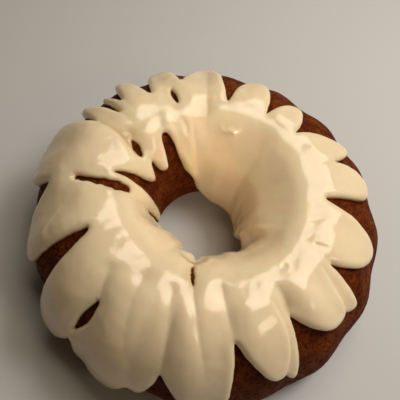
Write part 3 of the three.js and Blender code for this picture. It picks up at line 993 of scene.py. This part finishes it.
def ramp_between(tree, factor, low, high):
    """A factor that climbs from 0 to 1 as another goes from low to high."""
    inputs = {"Value": factor, "From Min": low, "From Max": high}
    return add(tree, "ShaderNodeMapRange", inputs, interpolation_type="SMOOTHSTEP").outputs["Result"]


def range_between(tree, factor, low, high):
    """A value that goes from low to high as a factor goes from 0 to 1."""
    inputs = {"Value": factor, "To Min": low, "To Max": high}
    return add(tree, "ShaderNodeMapRange", inputs).outputs["Result"]


def worked_out(tree, operation, first, second=0.5):
    """What a calculation makes of one or two factors, each a socket or a number."""
    return add(tree, "ShaderNodeMath", {0: first, 1: second}, operation=operation).outputs[0]


def mix_colours(tree, factor, first, second):
    """Two colours, each given as a socket or a colour, mixed by a factor socket or number."""
    first, second = (
        value if isinstance(value, bpy.types.NodeSocket) else (*value, 1) for value in (first, second))
    return add(tree, "ShaderNodeMix", {0: factor, 6: first, 7: second}, data_type="RGBA").outputs[2]


def bumps(tree, height, strength, distance):
    """Bumps from a height, with their full depth in millimetres."""
    inputs = {"Height": height, "Strength": strength, "Distance": distance * MM}
    return add(tree, "ShaderNodeBump", inputs).outputs["Normal"]


def stored(tree, name):
    """A value stored with the mesh's points."""
    return add(tree, "ShaderNodeAttribute", {}, attribute_name=name).outputs["Fac"]


def noise_of(tree, place, size, detail=2.0, roughness=0.5, distortion=0.0):
    """Soft noise of about the given size in millimetres."""
    inputs = {
        "Vector": place, "Scale": 1 / (size * MM), "Detail": detail, "Roughness": roughness,
        "Distortion": distortion,
    }
    return add(tree, "ShaderNodeTexNoise", inputs).outputs["Fac"]


def crust_material(colours):
    """Browned crust: mottled, with painted shade beside the icing, and darker pores, pits and wrinkles,
    partly its own colour and partly painted shade.
    """
    material, shader = new_material("browned_crust")
    tree = material.node_tree
    place = add(tree, "ShaderNodeTexCoord", {}).outputs["Object"]
    patches = ramp_between(tree, noise_of(tree, place, size=12, detail=4, roughness=0.6), 0.38, 0.64)
    mottle = noise_of(tree, place, size=3.4, detail=4, roughness=0.62, distortion=0.6)
    mottle = ramp_between(tree, mottle, 0.36, 0.62)
    pores = noise_of(tree, place, size=1.5, detail=2.5, roughness=0.6, distortion=0.8)
    pores = ramp_between(tree, pores, 0.42, 0.33)
    wrinkles = noise_of(tree, place, size=5, detail=3, roughness=0.6, distortion=1.2)
    wrinkles = worked_out(tree, "ABSOLUTE", worked_out(tree, "SUBTRACT", wrinkles, 0.5))
    wrinkles = ramp_between(tree, wrinkles, 0.022, 0.004)
    # The pores, pits and wrinkles are sunk by the bumps; their darker colour is partly the crust's own and
    # partly painted shade in these hollows.
    dark = worked_out(tree, "MAXIMUM", worked_out(tree, "MAXIMUM", pores, wrinkles), stored(tree, "pit"))
    dark = worked_out(tree, "MULTIPLY", dark, 0.6)
    # Painted shade beside the icing: the crust is mixed towards its darkest colour there.
    painted_shade = worked_out(tree, "MULTIPLY", stored(tree, "near_icing"), 0.4)
    colour = mix_colours(tree, patches, colours.crust, colours.crust_light)
    colour = mix_colours(tree, mottle, mix_colours(tree, 0.45, colour, colours.crust_dark_and_shade), colour)
    colour = mix_colours(tree, dark, colour, colours.crust_dark_and_shade)
    colour = mix_colours(tree, painted_shade, colour, colours.crust_dark_and_shade)
    feed(tree, shader, {
        "Base Color": colour,
        "Roughness": range_between(tree, mottle, 0.5, 0.78),
        "Normal": bumps(tree, worked_out(tree, "SUBTRACT", mottle, dark), strength=0.7, distance=0.6),
        "Specular IOR Level": 0.06,
        "Subsurface Weight": 0.05,
        "Subsurface Radius": (0.003, 0.001, 0.0005),
    })
    return material


def icing_material(colours):
    """Glossy cream icing: a little light passes through it, and it is browner where it is thin."""
    material, shader = new_material("poured_cream_icing")
    tree = material.node_tree
    place = add(tree, "ShaderNodeTexCoord", {}).outputs["Object"]
    cloud = ramp_between(tree, noise_of(tree, place, size=22, detail=3), 0.3, 0.7)
    colour = mix_colours(tree, cloud, colours.cream, [value * 0.95 for value in colours.cream])
    thin = ramp_between(tree, stored(tree, "thin"), 0.35, 1.0)
    feed(tree, shader, {
        "Base Color": mix_colours(tree, thin, colour, colours.cream_thin),
        "Roughness": range_between(tree, noise_of(tree, place, size=9, detail=3), 0.08, 0.17),
        "Normal": bumps(tree, noise_of(tree, place, size=5), strength=0.2, distance=0.5),
        "Specular IOR Level": 0.9,
        "Subsurface Weight": 0.5,
        "Subsurface Scale": 0.5,
        "Subsurface Radius": (0.008, 0.004, 0.0015),
    })
    return material


def floor_material(colours):
    """A matt floor."""
    material, shader = new_material("studio_floor")
    feed(material.node_tree, shader, {"Base Color": (*colours.floor, 1), "Roughness": 0.8})
    return material


# ---- Operators
FORM = {}  # what the operators share


def cake_form(scene):
    """The crust's form, the icing's edges, and the map of distances from them, made once."""
    if "form" not in FORM:
        crust = Crust(scene.cake_sizes)
        edges = icing_edges(crust, scene.icing_sizes)
        FORM["form"] = crust, edges, EdgeMap(crust, edges, scene.icing_sizes.rim / MM)
    return FORM["form"]


class CAKE_OT_crust(Operator):
    """Build the baked ring with its browned crust."""

    bl_idname = "cake.crust"
    bl_label = "Baked Ring"

    def execute(self, context):
        crust, _, edge_map = cake_form(context.scene)
        piece = build_crust(crust, edge_map, context.scene.cake_sizes)
        piece.data.materials.append(crust_material(context.scene.cake_colours))
        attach(piece, "root")
        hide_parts("cake")
        return {"FINISHED"}


class CAKE_OT_icing(Operator):
    """Build the icing poured over the ring."""

    bl_idname = "cake.icing"
    bl_label = "Poured Icing"

    def execute(self, context):
        crust, edges, edge_map = cake_form(context.scene)
        piece = build_icing(crust, edge_map, edges, context.scene.icing_sizes)
        piece.data.materials.append(icing_material(context.scene.cake_colours))
        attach(piece, "root")
        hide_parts("icing")
        return {"FINISHED"}


class CAKE_OT_stage(Operator):
    """Lay the pale floor, and set up the lights and the camera."""

    bl_idname = "cake.stage"
    bl_label = "Floor, Lights and Camera"

    def execute(self, context):
        scene = context.scene
        sizes = scene.stage_sizes
        mesh = bpy.data.meshes.new("floor")
        half = FLOOR_SIZE / 2
        mesh.from_pydata(
            [(-half, -half, 0), (half, -half, 0), (half, half, 0), (-half, half, 0)], [], [(0, 1, 2, 3)])
        floor = bpy.data.objects.new("floor", mesh)
        scene.collection.objects.link(floor)
        mesh.materials.append(floor_material(scene.cake_colours))
        for name, light in LIGHTS.items():
            add_light(name + "_light", getattr(sizes, name), **light)
        world = bpy.data.worlds.new("studio")
        world.use_nodes = True
        background = world.node_tree.nodes["Background"]
        background.inputs["Color"].default_value = SKY_COLOUR
        background.inputs["Strength"].default_value = sizes.sky
        scene.world = world
        add_camera(scene, sizes)
        scene.view_settings.view_transform = "Standard"
        return {"FINISHED"}


def direction_of(azimuth, elevation):
    """The way from a target to what stands in the given direction from it, in degrees."""
    flat = math.cos(math.radians(elevation))
    turn = math.radians(azimuth)
    return Vector((flat * math.cos(turn), flat * math.sin(turn), math.sin(math.radians(elevation))))


def add_light(
        name, power, size, azimuth, elevation, distance, colour, target=CAKE_MIDDLE, spread=180,
        glossy=True):
    """A soft rectangular light that faces the cake, or one place on it, from the given direction."""
    data = bpy.data.lights.new(name, "AREA")
    data.shape = "RECTANGLE"
    data.size, data.size_y = size
    data.energy = power
    data.color = colour
    data.spread = math.radians(spread)
    light = bpy.data.objects.new(name, data)
    light.visible_glossy = glossy
    way = direction_of(azimuth, elevation)
    light.location = Vector(target) + way * distance
    light.rotation_euler = way.to_track_quat("Z", "Y").to_euler()
    bpy.context.scene.collection.objects.link(light)


def add_camera(scene, sizes):
    """A camera that looks down at the cake from the front, turned a little about its own axis."""
    data = bpy.data.cameras.new("camera")
    data.lens = sizes.lens
    data.sensor_width = 36
    data.clip_start = 0.01
    camera = bpy.data.objects.new("camera", data)
    back = Vector((0, -math.cos(sizes.elevation), math.sin(sizes.elevation)))
    right = Vector((1, 0, 0))
    up = back.cross(right)
    cos, sin = math.cos(sizes.roll), math.sin(sizes.roll)
    right, up = cos * right + sin * up, cos * up - sin * right
    turned = Matrix((right, up, back)).transposed().to_4x4()
    camera.matrix_world = Matrix.Translation(Vector(CAMERA_TARGET) + back * sizes.distance) @ turned
    scene.collection.objects.link(camera)
    scene.camera = camera


class CAKE_PT_pieces(Panel):
    """Lists the pieces of the cake and their sizes."""

    bl_label = "Ring Cake"
    bl_space_type = "VIEW_3D"
    bl_region_type = "UI"
    bl_category = "Ring Cake"

    def draw(self, context):
        for operator in OPERATORS:
            self.layout.operator(operator.bl_idname)
        for name in GROUPS:
            group = getattr(context.scene, name)
            self.layout.label(text=group.bl_rna.name)
            for key in group.bl_rna.properties.keys():
                if key not in ("rna_type", "name"):
                    self.layout.prop(group, key)


OPERATORS = (CAKE_OT_crust, CAKE_OT_icing, CAKE_OT_stage)
GROUPS = {
    "cake_sizes": CakeSizes, "icing_sizes": IcingSizes, "cake_colours": CakeColours,
    "stage_sizes": StageSizes,
}


def register():
    for kind in (*GROUPS.values(), *OPERATORS, CAKE_PT_pieces):
        bpy.utils.register_class(kind)
    for name, kind in GROUPS.items():
        setattr(bpy.types.Scene, name, PointerProperty(type=kind))


def unregister():
    for name in GROUPS:
        delattr(bpy.types.Scene, name)
    for kind in (CAKE_PT_pieces, *reversed(OPERATORS), *reversed(GROUPS.values())):
        bpy.utils.unregister_class(kind)


def main():
    """Builds the whole scene."""
    register()
    bpy.ops.cake.stage()
    bpy.ops.cake.crust()
    bpy.ops.cake.icing()
    bpy.context.view_layer.update()


if __name__ == "__main__":
    main()
